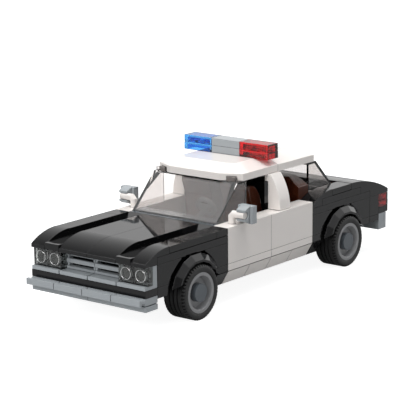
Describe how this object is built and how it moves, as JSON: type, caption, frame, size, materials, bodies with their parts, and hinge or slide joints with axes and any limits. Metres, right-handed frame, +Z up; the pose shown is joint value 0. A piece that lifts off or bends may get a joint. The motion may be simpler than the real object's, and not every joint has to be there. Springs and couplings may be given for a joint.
{
  "type": "brick-built toy police car",
  "caption": "Toy police car of interlocking plastic bricks: black body, white doors and roof, hollow cabin with clear windows, light bar, and wheelsets that roll freely.",
  "frame": {"origin": "on the floor under the middle of the car's outline", "axes": "+Z up, -Y towards the nose, +X towards the car's left side"},
  "size_m": [0.075, 0.1877, 0.0642],
  "materials": {
    "black_abs": "gloss",
    "white_abs": "gloss",
    "light_grey_abs": "gloss",
    "rim_grey_abs": "gloss",
    "dark_grey_abs": "gloss",
    "brown_abs": "gloss",
    "clear_polycarbonate": "gloss",
    "blue_polycarbonate": "gloss",
    "red_polycarbonate": "gloss",
    "tyre_rubber": "matte"
  },
  "bodies": {
    "car": {"axle_holders": "black_abs", "base_rows": "black_abs", "boot_tiles": "black_abs", "bumper_rails": "light_grey_abs", "bumper_under_plates": "light_grey_abs", "cabin_floor": "dark_grey_abs", "chassis": "black_abs", "corner_bricks": "black_abs", "dashboard": "dark_grey_abs", "door_plates": "white_abs", "door_tiles": "white_abs", "door_walls": "white_abs", "front_core": "black_abs", "front_seats": "brown_abs", "grille_tiles": "light_grey_abs", "head_lamps": "clear_polycarbonate", "hood_bows": "black_abs", "hood_plates": "black_abs", "hood_tiles": "black_abs", "lamp_brackets": "light_grey_abs", "light_blue_lower": "blue_polycarbonate", "light_blue_upper": "blue_polycarbonate", "light_middle": "light_grey_abs", "light_red_lower": "red_polycarbonate", "light_red_upper": "red_polycarbonate", "mirror_arms": "white_abs", "mirror_clips": "light_grey_abs", "mudguards": "black_abs", "nose_course": "black_abs", "partition": "black_abs", "pillars": "white_abs", "rear_bows": "black_abs", "rear_bumper_backing": "light_grey_abs", "rear_bumper_tiles": "light_grey_abs", "rear_core": "black_abs", "rear_lower_plates": "black_abs", "rear_seat": "brown_abs", "rear_upper_plates": "black_abs", "rear_window": "clear_polycarbonate", "roof": "white_abs", "sill_ends": "black_abs", "sills": "white_abs", "steering_wheel": "black_abs", "tail_course": "black_abs", "tail_lamps_lower": "red_polycarbonate", "tail_lamps_upper": "red_polycarbonate", "tail_panel": "black_abs", "windscreen": "clear_polycarbonate"},
    "front_wheelset": {"front_axle": "black_abs", "front_rims": "rim_grey_abs", "front_hub_tiles": "dark_grey_abs", "front_left_tyre": "tyre_rubber", "front_right_tyre": "tyre_rubber"},
    "rear_wheelset": {"rear_axle": "black_abs", "rear_rims": "rim_grey_abs", "rear_hub_tiles": "dark_grey_abs", "rear_left_tyre": "tyre_rubber", "rear_right_tyre": "tyre_rubber"}
  },
  "joints": [
    {"name": "front_axle_spin", "type": "hinge", "parent": "car", "child": "front_wheelset", "pos_m": [0, -0.05815, 0.012], "axis": [1, 0, 0], "continuous": true},
    {"name": "rear_axle_spin", "type": "hinge", "parent": "car", "child": "rear_wheelset", "pos_m": [0, 0.05385, 0.012], "axis": [1, 0, 0], "continuous": true}
  ]
}
